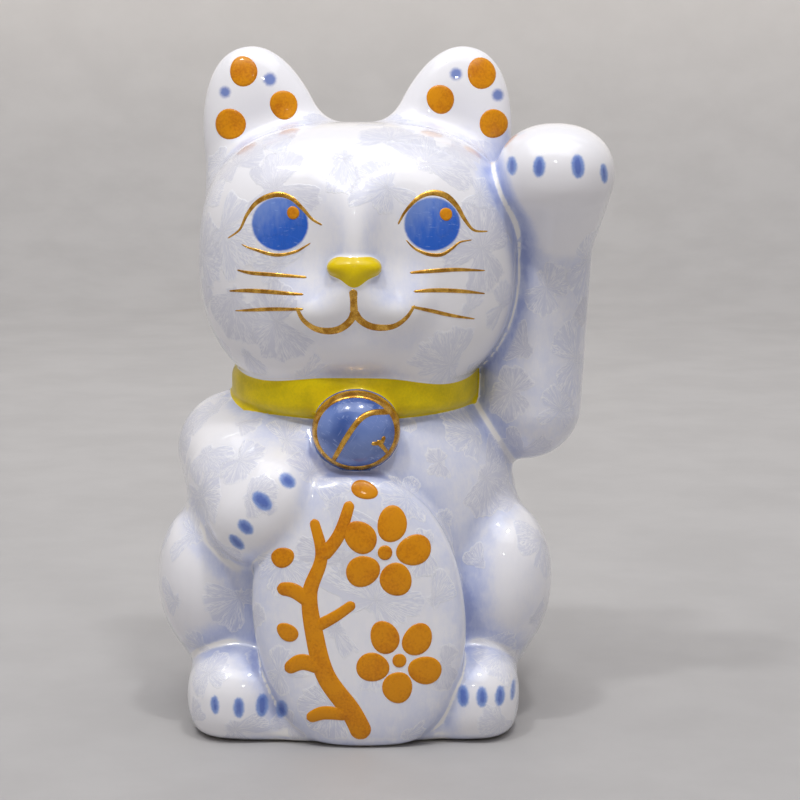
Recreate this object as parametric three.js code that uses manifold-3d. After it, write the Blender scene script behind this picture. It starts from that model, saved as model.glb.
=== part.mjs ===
// A seated porcelain beckoning cat, 180 mm tall, with its left paw raised beside its ear and an oval
// tablet held against its belly. Millimetres, +Z up. The cat faces -Y and its own left side is +X.
// The origin is on the surface it stands on, below the middle of the body.
//
// The cat is made the way a pottery makes it: a torso and a head cast hollow from slip, with the
// limbs, ears, tablet, collar and bell cast or pressed separately and luted on. Each of them is one
// mesh here, and a thin joint is left between neighbours.
import * as THREE from "three";
import { mergeVertices } from "three/addons/utils/BufferGeometryUtils.js";
import Module from "manifold-3d";

const wasm = await Module();
wasm.setup();

// ---- driving dimensions ----------------------------------------------------------------------
const JOINT = 0.3; // gap left between two luted castings
const WALL = 4; // thickness of the cast walls
const SLAB = 3; // thickness of the foot slab
const NECK_Z = 90; // height at which the head is luted to the torso
const NECK = { halfX: 27.5, halfY: 25.5, centreY: -3, reach: 20 }; // reach is into each casting
const NECK_HOLE = { radius: 15, reach: 30 }; // the opening between the two hollows
const VENT = { radius: 4, y: 16 }; // hole in the foot slab that lets the kiln gases out
const WELL = { halfX: 30, halfY: 26, y: 3 }; // opening in the torso's floor, above the vent

// Each form is a centre, three half-widths and a power: 2 is an ellipsoid, more is boxier.
// taper is the share of its width that a form has lost by its lowest point.
const TORSO = { centre: [0, 0, 45], half: [45, 39, 50], power: 2.5 };
const PLINTH = { centre: [0, -5, 3], half: [43.5, 41.5, 9], power: 2.4 };
const SEAT = { centre: [0, 3, 25], half: [46, 37, 30], power: 3.2 };
const HEAD = { centre: [1, -6, 122], half: [42.7, 34.5, 38], power: 2.8, taper: 0.19 };
const MUZZLE = { centre: [8, -35.5, 115.5], half: [10.5, 9.5, 9], power: 2 }; // one of two pads
const CHIN = { centre: [0.5, -32, 105], half: [15, 8, 9], power: 2 };
const EAR = { centre: [23, 3, 144.5], half: [17.3, 8.6, 36.2], power: 2.2, lean: 13 };
const PAW_UP = { centre: [53, -19, 147], half: [15.5, 17, 13.2], power: 2.2 };
const PALM_UP = { centre: [53.3, -13, 137], half: [12.6, 13, 13], power: 2 };
const PAW_DOWN = { centre: [-22.6, -35, 61.6], half: [16.4, 14.5, 12.6], power: 2.2, lean: -48 };
const HAUNCH = { centre: [37.9, -3, 34.5], half: [14.5, 32, 22], power: 2.2 };
const KNEE = { centre: [40.4, -20, 40.5], half: [12, 15.5, 18], power: 2.1 };
const FOOT_LEFT = { centre: [31.6, -30, 9.5], half: [12.3, 17.5, 13.3], power: 2.4 };
const FOOT_RIGHT = { centre: [-30.2, -30, 9.5], half: [14.3, 17.5, 13.3], power: 2.4 };
const BELL = { centre: [0.8, -37.6, 81.8], half: [11.4, 9, 10.4], power: 2 };
const TABLET = { centre: [1.5, -41, 34], halfX: 27.6, halfZ: 37.2, thick: 17, tilt: 6.5, lean: -3.5 };
const COLLAR = { halfX: 33.6, halfY: 31.5, bottom: 83, top: 96, centreY: -6 };
const NOSE = { centre: [0.5, -45.5, 124.5], halfWidth: 6.6, halfHeight: 4.2, thick: 5 };

// Limbs are round bars: two ball ends, each with its own radius.
const ARM_UP = { from: [46.6, -4, 83.6], to: [53, -8, 134], radii: [15.2, 11.4] };
const ARM_DOWN = { from: [-32.6, -5, 71], to: [-29.5, -22, 66.5], radii: [16, 15.2] };
const SHOULDER_HOLE = { from: [30, -3, 83], radius: 7 }; // joins the raised arm's hollow to its root
const TAIL = [[2, 38, 10], [14, 39.5, 10], [23, 36.5, 16], [25, 33, 26]]; // ends of its three bars
const TAIL_RADII = [6, 6.2, 5.8, 4.6]; // one for each of those points

// The foot slab follows the outline that stands on the table: the seat, both feet and the tablet.
const SLAB_SEAT = { halfX: 42.5, halfY: 40, x: 0, y: -2 };
const SLAB_TABLET = { halfX: 22, halfY: 18, x: 4.5, y: -31 };
const SLAB_FOOT_INSET = { x: 1.3, y: 1.5 }; // how far the slab stays inside each foot's widest line

// ---- solids ----------------------------------------------------------------------------------
const degrees = THREE.MathUtils.degToRad;

// A closed three.js geometry as a manifold-3d solid.
function solidOf(geometry) {
  geometry.deleteAttribute("normal");
  geometry.deleteAttribute("uv");
  const merged = mergeVertices(geometry, 1e-4);
  return new wasm.Manifold(new wasm.Mesh({
    numProp: 3,
    vertProperties: new Float32Array(merged.attributes.position.array),
    triVerts: new Uint32Array(merged.index.array),
  }));
}

// A manifold-3d solid as a three.js geometry whose own origin is at centre.
function geometryOf(solid, centre) {
  const mesh = solid.getMesh();
  const geometry = new THREE.BufferGeometry();
  geometry.setAttribute("position", new THREE.BufferAttribute(mesh.vertProperties, 3));
  geometry.setIndex(new THREE.BufferAttribute(mesh.triVerts, 1));
  geometry.translate(-centre[0], -centre[1], -centre[2]);
  geometry.computeVertexNormals();
  return geometry;
}

const join = (solids) => solids.reduce((a, b) => a.add(b));
const cut = (solid, ...tools) => tools.reduce((a, b) => a.subtract(b), solid);

// A form given for the cat's left is used as it is there and mirrored for its right.
const left = (form) => form;
const right = (form) => ({
  ...form,
  centre: [-form.centre[0], form.centre[1], form.centre[2]],
  lean: -(form.lean ?? 0),
});

// A rounded form: a sphere's points pushed out to the powered surface, grown by grow all round.
// lean turns it about the Y axis, in degrees, and positive is towards +X. detail is how finely the
// sphere is divided.
function blob({ centre, half, power, lean = 0, taper = 0 }, grow = 0, detail = 4) {
  const geometry = new THREE.IcosahedronGeometry(1, detail);
  const at = geometry.getAttribute("position");
  const point = new THREE.Vector3();
  for (let i = 0; i < at.count; i++) {
    point.fromBufferAttribute(at, i);
    const sum = ["x", "y", "z"].reduce((s, axis) => s + Math.abs(point[axis]) ** power, 0);
    point.multiplyScalar(sum ** (-1 / power));
    const narrowed = 1 - taper * Math.min(point.z, 0) ** 2;
    point.multiply(new THREE.Vector3(...half).addScalar(grow));
    at.setXYZ(i, point.x * narrowed, point.y, point.z);
  }
  geometry.rotateY(degrees(lean));
  geometry.translate(...centre);
  return solidOf(geometry);
}

// A bar with ball ends, grown by grow all round: a lathe profile of two arcs, turned to its line.
function limb(from, to, [radiusFrom, radiusTo], grow = 0, arcSteps = 4, sides = 20) {
  const a = new THREE.Vector3(...from);
  const along = new THREE.Vector3(...to).sub(a);
  const length = along.length();
  const tilt = Math.asin((radiusFrom - radiusTo) / length); // where the cone leaves the balls
  const profile = [];
  const arc = (height, radius, start, end) => {
    for (let i = 0; i <= arcSteps; i++) {
      const angle = start + ((end - start) * i) / arcSteps;
      const across = Math.max(radius * Math.cos(angle), 0);
      profile.push(new THREE.Vector2(across, height + radius * Math.sin(angle)));
    }
  };
  arc(0, radiusFrom + grow, -Math.PI / 2, tilt);
  arc(length, radiusTo + grow, tilt, Math.PI / 2);
  const geometry = new THREE.LatheGeometry(profile, sides);
  const up = new THREE.Vector3(0, 1, 0);
  geometry.applyQuaternion(new THREE.Quaternion().setFromUnitVectors(up, along.normalize()));
  geometry.translate(a.x, a.y, a.z);
  return solidOf(geometry);
}

// An upright slice of an oval bar between two heights.
function ovalBar(halfX, halfY, bottom, top, centreX = 0, centreY = 0, sides = 20) {
  const shape = new THREE.Shape();
  shape.absellipse(centreX, centreY, halfX, halfY, 0, 2 * Math.PI);
  const bar = new THREE.ExtrudeGeometry(shape, {
    depth: top - bottom, bevelEnabled: false, curveSegments: sides,
  });
  return solidOf(bar.translate(0, 0, bottom));
}

// A block that holds everything on one side of a height, to trim a casting flat.
function halfSpace(height, direction) {
  const reach = 200;
  const block = new THREE.BoxGeometry(2 * reach, 2 * reach, reach);
  return solidOf(block.translate(0, 0, height + (direction * reach) / 2));
}

const below = (height) => halfSpace(height, -1);
const above = (height) => halfSpace(height, 1);

// ---- the castings, each grown by g when it serves as a neighbour's cutter ----------------------
const hollow = (form) => ({ ...form, half: form.half.map((h) => h - WALL) });

const neckForm = (g, bottom, top) =>
  ovalBar(NECK.halfX + g, NECK.halfY + g, bottom, top, 0, NECK.centreY);

const torsoForm = (g = 0) => join([
  blob(TORSO, g, 5),
  blob(SEAT, g, 4),
  blob(PLINTH, g, 3),
  neckForm(g, NECK_Z - NECK.reach, NECK_Z + g),
]);

const headForm = (g = 0) => join([
  blob(HEAD, g, 6),
  blob(left(MUZZLE), g, 3),
  blob(right(MUZZLE), g, 3),
  blob(CHIN, g, 3),
  neckForm(g, NECK_Z + JOINT - g, NECK_Z + NECK.reach),
]);

// The tablet's outline is an oval of four equal curves, a little boxier than an ellipse.
function tabletForm(g = 0) {
  const { centre, halfX, halfZ, thick, tilt, lean } = TABLET;
  const squareness = 0.62; // 0.55 would be an ellipse
  const x = halfX + g;
  const z = halfZ + g;
  const shape = new THREE.Shape();
  shape.moveTo(x, 0);
  shape.bezierCurveTo(x, z * squareness, x * squareness, z, 0, z);
  shape.bezierCurveTo(-x * squareness, z, -x, z * squareness, -x, 0);
  shape.bezierCurveTo(-x, -z * squareness, -x * squareness, -z, 0, -z);
  shape.bezierCurveTo(x * squareness, -z, x, -z * squareness, x, 0);
  const round = 2.5; // of the tablet's edges
  const plate = new THREE.ExtrudeGeometry(shape, {
    depth: thick + 2 * g - 2 * round, curveSegments: 10,
    bevelThickness: round, bevelSize: round, bevelOffset: -round, bevelSegments: 2,
  });
  plate.translate(0, 0, round - thick / 2 - g);
  plate.rotateX(degrees(90));
  plate.rotateX(degrees(lean));
  plate.rotateY(degrees(-tilt));
  return solidOf(plate.translate(...centre));
}

const collarForm = (g = 0) =>
  ovalBar(COLLAR.halfX + g, COLLAR.halfY + g, COLLAR.bottom - g, COLLAR.top + g, 0, COLLAR.centreY);

const armDownForm = (g = 0) => limb(ARM_DOWN.from, ARM_DOWN.to, ARM_DOWN.radii, g);
const armUpForm = (g = 0) => limb(ARM_UP.from, ARM_UP.to, ARM_UP.radii, g);
const haunchForm = (side, g = 0) => blob(side(HAUNCH), g).add(blob(side(KNEE), g, 3));
const earForm = (side, g = 0) => blob(side(EAR), g);

const tailForm = () => join(TAIL.slice(1).map((end, i) =>
  limb(TAIL[i], end, [TAIL_RADII[i], TAIL_RADII[i + 1]], 0, 3, 14)));

// A rounded triangle, point down, pressed onto the muzzle.
function noseForm() {
  const { centre, halfWidth, halfHeight, thick } = NOSE;
  const corner = halfHeight * 0.4; // height of its two upper corners
  const crown = halfHeight * 1.6; // pulls the top edge up into a curve
  const cheek = [halfWidth * 0.75, -halfHeight * 0.5]; // pulls the sides out
  const round = 0.8; // of the nose's edges
  const shape = new THREE.Shape();
  shape.moveTo(-halfWidth, corner);
  shape.quadraticCurveTo(0, crown, halfWidth, corner);
  shape.quadraticCurveTo(cheek[0], cheek[1], 0, -halfHeight);
  shape.quadraticCurveTo(-cheek[0], cheek[1], -halfWidth, corner);
  const pad = new THREE.ExtrudeGeometry(shape, {
    depth: thick, bevelThickness: round, bevelSize: round, bevelOffset: -round, bevelSegments: 3,
    curveSegments: 10,
  });
  pad.rotateX(degrees(90));
  return solidOf(pad.translate(centre[0], centre[1] + thick, centre[2]));
}

function footSlab() {
  const plates = [SLAB_SEAT, SLAB_TABLET].map(({ halfX, halfY, x, y }) =>
    ovalBar(halfX, halfY, 0, SLAB, x, y));
  for (const { centre, half } of [FOOT_LEFT, FOOT_RIGHT]) {
    const halfX = half[0] - SLAB_FOOT_INSET.x;
    const halfY = half[1] - SLAB_FOOT_INSET.y;
    plates.push(ovalBar(halfX, halfY, 0, SLAB, centre[0], centre[1]));
  }
  return cut(join(plates), ovalBar(VENT.radius, VENT.radius, -1, SLAB + 1, 0, VENT.y, 24));
}

// ---- each casting as it comes out, trimmed where it lies on its neighbours ---------------------
const floor = below(SLAB + JOINT);
const torsoTool = torsoForm(JOINT);
const headTool = headForm(JOINT);
const tabletTool = tabletForm(JOINT);
const collarTool = collarForm(JOINT);
const haunchTool = (side) => haunchForm(side, JOINT);

const neckHole = ovalBar(
  NECK_HOLE.radius, NECK_HOLE.radius, NECK_Z - NECK_HOLE.reach, NECK_Z + NECK_HOLE.reach,
  0, NECK.centreY, 32,
);
const torsoHollow = join([
  blob(hollow(TORSO), 0, 3),
  blob(hollow(SEAT), 0, 3),
  ovalBar(WELL.halfX, WELL.halfY, 0, SLAB + JOINT + WALL, 0, WELL.y),
]);
const torso = cut(torsoForm(), torsoHollow, neckHole, floor, above(NECK_Z));
const head = cut(headForm(), blob(hollow(HEAD), 0, 3), neckHole, below(NECK_Z + JOINT));

const neckTool = neckForm(0, NECK_Z - NECK.reach, NECK_Z + NECK.reach);
const tablet = cut(tabletForm(), torsoTool, floor);
const collar = cut(collarForm(), torsoTool, headTool, neckTool);
const bell = cut(blob(BELL), torsoTool, collarTool, tabletTool);

const haunch = (side) => cut(haunchForm(side), torsoTool, tabletTool, floor);
const foot = (form, side) => cut(blob(form), torsoTool, tabletTool, haunchTool(side), floor);

const armDown = cut(armDownForm(), torsoTool, tabletTool, collarTool, haunchTool(right));
const pawDown = cut(
  blob(PAW_DOWN), armDownForm(JOINT), torsoTool, tabletTool, collarTool, blob(BELL, JOINT),
  haunchTool(right),
);

// The raised arm is a hollow casting too, open where it lies against the shoulder.
const innerRadii = ARM_UP.radii.map((radius) => radius - WALL);
const armUpHollow = limb(ARM_UP.from, ARM_UP.to, innerRadii, 0, 3, 14);
const holeRadii = [SHOULDER_HOLE.radius, SHOULDER_HOLE.radius];
const shoulderHole = limb(SHOULDER_HOLE.from, ARM_UP.from, holeRadii, 0, 3, 14);
const armUp = cut(
  armUpForm(), armUpHollow, shoulderHole, torsoTool, headTool, collarTool, haunchTool(left),
);
const pawUp = cut(
  blob(PAW_UP).add(blob(PALM_UP, 0, 3)), armUpForm(JOINT), headTool, earForm(left, JOINT),
);

const tail = cut(tailForm(), torsoTool, haunchTool(left), floor);
const nose = cut(noseForm(), headTool);

// ---- the assembly ----------------------------------------------------------------------------
const paint = (color, roughness, metalness = 0) =>
  new THREE.MeshStandardMaterial({ color, roughness, metalness });
const GLAZE = paint(0xe6e7ef, 0.12);
const YELLOW = paint(0xb3aa08, 0.2);
const BLUE = paint(0x3a5a9e, 0.15);
const BISQUE = paint(0xe9e4d8, 0.7);

const cat = new THREE.Group();

// Adds a casting to a group, with its own origin at centre.
function place(group, name, solid, centre, material) {
  const mesh = new THREE.Mesh(geometryOf(solid, centre), material);
  mesh.name = name;
  mesh.position.set(...centre);
  group.add(mesh);
}

const body = new THREE.Group();
place(body, "foot_slab", footSlab(), [0, 0, 0], BISQUE);
place(body, "torso_casting", torso, TORSO.centre, GLAZE);
place(body, "left_haunch", haunch(left), HAUNCH.centre, GLAZE);
place(body, "right_haunch", haunch(right), right(HAUNCH).centre, GLAZE);
place(body, "left_foot", foot(FOOT_LEFT, left), FOOT_LEFT.centre, GLAZE);
place(body, "right_foot", foot(FOOT_RIGHT, right), FOOT_RIGHT.centre, GLAZE);
place(body, "tail", tail, TAIL[1], GLAZE);
place(body, "raised_arm", armUp, ARM_UP.from, GLAZE);
place(body, "raised_paw", pawUp, PAW_UP.centre, GLAZE);
place(body, "lowered_arm", armDown, ARM_DOWN.from, GLAZE);
place(body, "lowered_paw", pawDown, PAW_DOWN.centre, GLAZE);
place(body, "oval_tablet", tablet, TABLET.centre, GLAZE);
place(body, "collar", collar, [0, COLLAR.centreY, COLLAR.bottom], YELLOW);
place(body, "bell", bell, BELL.centre, BLUE);

const headGroup = new THREE.Group();
place(headGroup, "head_casting", head, HEAD.centre, GLAZE);
place(headGroup, "left_ear", cut(earForm(left), headTool), EAR.centre, GLAZE);
place(headGroup, "right_ear", cut(earForm(right), headTool), right(EAR).centre, GLAZE);
place(headGroup, "nose", nose, NOSE.centre, YELLOW);

cat.add(body, headGroup);
export default cat;
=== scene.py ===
"""The looks of a seated porcelain beckoning cat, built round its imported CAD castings.

The cat's skin is one blended distance field, so the glaze runs smoothly over every joint. It is
meshed once and then cut along the joints, which gives one closed shell for each casting. Enamel
and gold are thin raised shells laid on that skin. Lengths are millimetres until a mesh is made.
"""
from math import ceil, cos, pi, radians, sin, tau

import bpy
import numpy as np
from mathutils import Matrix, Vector


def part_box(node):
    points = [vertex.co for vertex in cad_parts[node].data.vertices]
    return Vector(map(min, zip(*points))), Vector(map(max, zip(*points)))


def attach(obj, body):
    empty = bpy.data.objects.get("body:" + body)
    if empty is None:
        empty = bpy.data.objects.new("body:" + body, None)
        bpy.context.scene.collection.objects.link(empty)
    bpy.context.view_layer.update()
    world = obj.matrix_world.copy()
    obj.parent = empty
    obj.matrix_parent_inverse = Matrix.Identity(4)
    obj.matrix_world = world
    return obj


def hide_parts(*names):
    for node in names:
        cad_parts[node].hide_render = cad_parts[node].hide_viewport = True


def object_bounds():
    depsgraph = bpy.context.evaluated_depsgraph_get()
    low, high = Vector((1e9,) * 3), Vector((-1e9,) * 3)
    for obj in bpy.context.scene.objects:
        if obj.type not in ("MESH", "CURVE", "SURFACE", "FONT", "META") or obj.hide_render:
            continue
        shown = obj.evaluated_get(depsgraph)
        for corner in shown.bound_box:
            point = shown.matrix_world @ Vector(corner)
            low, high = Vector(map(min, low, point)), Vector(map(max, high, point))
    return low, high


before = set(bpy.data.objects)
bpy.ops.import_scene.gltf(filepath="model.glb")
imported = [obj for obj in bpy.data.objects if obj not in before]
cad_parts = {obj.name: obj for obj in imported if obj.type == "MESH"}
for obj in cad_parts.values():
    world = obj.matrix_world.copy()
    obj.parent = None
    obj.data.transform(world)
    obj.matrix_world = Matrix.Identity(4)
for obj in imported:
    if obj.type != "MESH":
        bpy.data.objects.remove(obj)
CAD_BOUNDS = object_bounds()

MM = 0.001
GRID = 1.5  # spacing of the first skin mesh; it is halved once afterwards
WALL = 2.0  # thickness of each skin shell
MARGIN = 4  # how far past the CAD box the skin is sampled
SLAB_TOP = 3.15  # where the glaze starts above the foot slab


# ---- distances ---------------------------------------------------------------------------------

def turn(axis, degrees):
    """The matrix that turns a form about one axis."""
    c, s = cos(radians(degrees)), sin(radians(degrees))
    rows = {
        "x": [[1, 0, 0], [0, c, -s], [0, s, c]],
        "y": [[c, 0, s], [0, 1, 0], [-s, 0, c]],
        "z": [[c, -s, 0], [s, c, 0], [0, 0, 1]],
    }
    return np.array(rows[axis], float)


def oval(p, centre, half, power=2.0, face=None, turned=None):
    """Distance to a rounded form. power shapes its x-z outline and face its depth; 2 is round."""
    face = power if face is None else face
    q = p - centre
    if turned is not None:
        q = q @ turned
    a = np.abs(q) / half + 1e-6
    ring = (a[:, 0] ** power + a[:, 2] ** power) ** (1 / power)
    total = ring ** face + a[:, 1] ** face
    size = total ** (1 / face)
    common = total ** (1 / face - 1)
    outline = common * ring ** (face - power)
    gradient = np.stack([
        outline * a[:, 0] ** (power - 1) / half[0],
        common * a[:, 1] ** (face - 1) / half[1],
        outline * a[:, 2] ** (power - 1) / half[2],
    ])
    return (size - 1) / np.sqrt((gradient ** 2).sum(0) + 1e-12)


def disc(p, centre, half, face):
    """Distance to an oval that lies flat, with a bulging rim."""
    q = (p - centre)[:, [0, 2, 1]]
    return oval(q, (0, 0, 0), (half[0], half[2], half[1]), 2.0, face)


def bar(p, start, end, radius_start, radius_end):
    """Distance to a bar with ball ends."""
    along = end - start
    t = np.clip((p - start) @ along / (along @ along), 0, 1)
    gap = np.linalg.norm(p - start - t[:, None] * along, axis=1)
    return gap - (radius_start + (radius_end - radius_start) * t)


def blend(a, b, fillet):
    """The nearer of two surfaces, with a fillet where they meet."""
    h = np.maximum(fillet - np.abs(a - b), 0) / fillet
    return np.minimum(a, b) - h * h * fillet / 4


def carve(a, b, fillet):
    """a with b taken out of it, the new edge rounded."""
    return -blend(-a, b, fillet)


# ---- the castings ------------------------------------------------------------------------------

MIDDLES = {node: np.array(sum(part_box(node), Vector()) / 2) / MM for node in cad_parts}


def spot(node, dx=0.0, dy=0.0, dz=0.0):
    """A point given from the middle of a CAD node's box."""
    return MIDDLES[node] + (dx, dy, dz)


VENT = spot("torso_casting", 0, 19.2, 0)[:2]  # the kiln vent, behind the middle of the foot slab
VENT_RADIUS = 4.0
EAR_LEAN = 13
SIDES = {"left": 1, "right": -1}


def torso_form(p):
    body = oval(p, spot("torso_casting", 0, 3.2, -1.6), (45, 39, 50), 2.5)
    seat = oval(p, spot("torso_casting", 0, 6.2, -21.6), (46, 37, 30), 3.2)
    chest = oval(p, spot("torso_casting", 0, -10.8, 15.4), (33, 25, 26), 2.2)
    plinth = oval(p, spot("torso_casting", 0, -1.8, -43.6), (43.5, 41.5, 9), 2.4, 3)
    return blend(blend(blend(body, seat, 8), chest, 10), plinth, 5)


def haunch_form(p, side, node):
    thigh = oval(p, spot(node, -3.6 * side, 0.5, -2.4), (14.2, 32, 22), 2.2)
    knee = oval(p, spot(node, -1.2 * side, -16.5, 3.6), (11.8, 15.5, 18), 2.1)
    return blend(thigh, knee, 7)


def ear_form(p, side):
    lean = turn("y", side * EAR_LEAN)
    ear = oval(p, spot("head_casting", 22.9 * side - 0.4, 11.3, 19.4), (17.3, 8.6, 36.2),
               2.15, 2.3, lean)
    scoop = oval(p, spot("head_casting", 21.5 * side - 0.4, -1.2, 20.9), (12.5, 6.4, 26),
                 2, 2, lean)
    return carve(ear, scoop, 4)


def head_form(p):
    centre = spot("head_casting", 0, 2.3, -3.1)
    narrowed = p - centre  # the jaw is narrower than the brow
    narrowed[:, 0] /= 1 - 0.19 * np.clip(-narrowed[:, 2] / 38, 0, 1) ** 2
    head = oval(narrowed, (0, 0, 0), (42.7, 34.5, 38), 2.8, 2.9)
    for side in SIDES.values():
        pad = oval(p, spot("head_casting", 8 * side - 0.6, -27.2, -9.6), (10.5, 9.5, 9))
        head = blend(head, pad, 6)
    chin = oval(p, spot("head_casting", -0.5, -24.7, -19.1), (12, 7.5, 8))
    bridge = oval(p, spot("head_casting", -0.5, -26.7, 3.9), (7.5, 8.4, 15))
    head = blend(blend(head, chin, 6), bridge, 9)
    for side in SIDES.values():
        socket = oval(p, spot("head_casting", 11.5 * side - 0.5, -36.6, 4.5), (5.5, 4.2, 12))
        head = carve(head, socket, 7)
    return head


def tail_form(p):
    route = [(-10.5, -2.8, -4.5), (1.5, -1.3, -4.5), (10.5, -4.3, 1.5), (12.5, -7.8, 11.5)]
    radii = [6, 6.2, 5.8, 4.6]
    points = [spot("tail", *offset) for offset in route]
    bars = [bar(p, a, b, ra, rb)
            for a, b, ra, rb in zip(points, points[1:], radii, radii[1:])]
    return blend(blend(bars[0], bars[1], 2), bars[2], 2)


def nose_form(p):
    lobes = [oval(p, spot("nose", 3.6 * side, 0.9, 0), (3.4, 3.0, 2.2))
             for side in SIDES.values()]
    top = oval(p, spot("nose", 0, 0.7, 0.4), (4.2, 3.1, 2.3))
    tip = oval(p, spot("nose", 0, 0.5, -2.4), (2.7, 3.2, 3.2))
    return blend(blend(blend(*lobes, 3), top, 2), tip, 3)


def castings(p):
    """Distance from each point to each casting on its own."""
    forms = {"torso_casting": torso_form(p)}
    for name, side in SIDES.items():
        forms[name + "_haunch"] = haunch_form(p, side, name + "_haunch")
        forms[name + "_ear"] = ear_form(p, side)
    forms["left_foot"] = oval(p, spot("left_foot", 0, 1.9, -3.5), (12.3, 17.5, 13.3), 2.4)
    forms["right_foot"] = oval(p, spot("right_foot", 0, 1.9, -3.5), (14.3, 17.5, 13.3), 2.4)
    forms["tail"] = tail_form(p)
    forms["oval_tablet"] = oval(p, spot("oval_tablet", 0, 1.2, -3.4), (27.6, 9.2, 37.2),
                                2.15, 3.6, turn("y", -6.5) @ turn("x", -3.5))
    forms["lowered_arm"] = bar(p, spot("lowered_arm", 1.7, 9.2, 0.6),
                               spot("lowered_arm", 4.8, -7.8, -3.9), 16, 15.2)
    forms["lowered_paw"] = oval(p, spot("lowered_paw", 0.4, 4, 0), (16.4, 14.5, 12.6),
                                2.2, 2.2, turn("y", -48))
    forms["raised_arm"] = bar(p, spot("raised_arm", -2.2, 0.2, -23.3),
                              spot("raised_arm", 4.2, -3.8, 27.1), 15.2, 11.4)
    knuckles = oval(p, spot("raised_paw", 0, 0, 4), (15.5, 17, 13.2), 2.2)
    palm = oval(p, spot("raised_paw", 0.3, 6, -6), (12.6, 13, 13))
    forms["raised_paw"] = blend(knuckles, palm, 6)
    forms["head_casting"] = head_form(p)
    forms["collar"] = disc(p, spot("collar", 0, 0, 0.7), (33.6, 31.5, 7.6), 4)
    forms["bell"] = oval(p, spot("bell", 0, 0.5), (11.4, 9, 10.4))
    forms["nose"] = nose_form(p)
    return forms


# How each casting is luted to what is there already: the fillet of slip and glaze in the joint.
LUTED = [
    ("left_haunch", 5), ("right_haunch", 5), ("left_foot", 5), ("right_foot", 5), ("tail", 3),
    ("lowered_limb", 6), ("oval_tablet", 2.2), ("raised_arm", 5),
    ("head_casting", 2.5), ("left_ear", 6.5), ("right_ear", 6.5), ("raised_paw", 4),
    ("collar", 1.6), ("bell", 1.3), ("nose", 1.2),
]
NODES = ["torso_casting", "lowered_arm", "lowered_paw"]
NODES += [name for name, fillet in LUTED if name != "lowered_limb"]


def skin(p):
    """Distance to the whole glazed cat, standing flat on z = 0 with its vent open."""
    forms = castings(p)
    forms["lowered_limb"] = blend(forms["lowered_arm"], forms["lowered_paw"], 9)
    cat = forms["torso_casting"]
    for name, fillet in LUTED:
        cat = blend(cat, forms[name], fillet)
    cat = carve(cat, p[:, 2], 2.5)
    vent = np.maximum(np.hypot(*(p[:, :2] - VENT).T) - VENT_RADIUS, p[:, 2] - 12)
    return carve(cat, vent, 0.6)


# ---- meshing -----------------------------------------------------------------------------------

def sampled(field, low, high, step):
    """The field on a grid, one slice at a time."""
    axes = [np.arange(a, b + step, step) for a, b in zip(low, high)]
    y, z = np.meshgrid(axes[1], axes[2], indexing="ij")
    out = np.empty([len(a) for a in axes], np.float32)
    for i, x in enumerate(axes[0]):
        out[i] = field(np.stack([np.full(y.size, x), y.ravel(), z.ravel()], 1)).reshape(y.shape)
    return axes, out


def surface_net(field, low, high, step):
    """One vertex in each grid cell that the surface crosses, and one quad for each crossed edge."""
    axes, value = sampled(field, low, high, step)
    inside = value < 0
    cells = np.array(value.shape) - 1
    total = np.zeros((*cells, 3), np.float32)
    count = np.zeros(cells, np.int16)

    def corner(grid, offset):
        return grid[tuple(slice(o, o + n) for o, n in zip(offset, cells))]

    for axis in range(3):
        one, two = [i for i in range(3) if i != axis]
        for near in ((0, 0), (0, 1), (1, 0), (1, 1)):
            a = [0, 0, 0]
            a[one], a[two] = near
            b = list(a)
            b[axis] = 1
            va, vb = corner(value, a), corner(value, b)
            crossed = corner(inside, a) != corner(inside, b)
            t = np.where(crossed, va / np.where(crossed, va - vb, 1), 0)
            for i in range(3):
                total[..., i] += t if i == axis else crossed * a[i]
            count += crossed
    active = count > 0
    index = -np.ones(count.shape, np.int64)
    index[active] = np.arange(active.sum())
    origin = [a[0] for a in axes]
    verts = (np.argwhere(active) + total[active] / count[active][:, None]) * step + origin
    quads = []
    for axis in range(3):
        one, two = [i for i in range(3) if i != axis]
        first = tuple(slice(0, -1) if i == axis else slice(None) for i in range(3))
        second = tuple(slice(1, None) if i == axis else slice(None) for i in range(3))
        start = np.argwhere(inside[first] != inside[second])
        flip = inside[tuple(start.T)]
        around = []
        for da, db in ((-1, -1), (0, -1), (0, 0), (-1, 0)):
            cell = start.copy()
            cell[:, one] += da
            cell[:, two] += db
            around.append(index[tuple(cell.T)])
        quad = np.stack(around, 1)
        turned = flip if axis == 1 else ~flip
        quad[turned] = quad[turned][:, ::-1]
        quads.append(quad)
    return verts, np.concatenate(quads)


def slope(field, p, reach=0.05):
    """The field's gradient."""
    steps = np.eye(3) * reach
    return np.stack([(field(p + s) - field(p - s)) / (2 * reach) for s in steps], 1)


def settled(field, p, rounds):
    """Points moved on to the surface."""
    for _ in range(rounds):
        g = slope(field, p)
        p = p - g * np.clip(field(p) / np.maximum((g * g).sum(1), 0.2), -0.8, 0.8)[:, None]
    return p


def halved(verts, quads):
    """Every quad split in four."""
    edges = np.sort(np.concatenate([quads[:, [i, (i + 1) % 4]] for i in range(4)]), axis=1)
    unique, which = np.unique(edges[:, 0] * len(verts) + edges[:, 1], return_inverse=True)
    middles = (verts[unique // len(verts)] + verts[unique % len(verts)]) / 2
    edge = len(verts) + which.reshape(4, -1).T
    centre = len(verts) + len(middles) + np.arange(len(quads))
    split = [np.stack([quads[:, i], edge[:, i], centre, edge[:, i - 1]], 1) for i in range(4)]
    return np.concatenate([verts, middles, verts[quads].mean(1)]), np.concatenate(split)


def unit(v):
    return v / np.maximum(np.linalg.norm(v, axis=1), 1e-9)[:, None]


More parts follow.
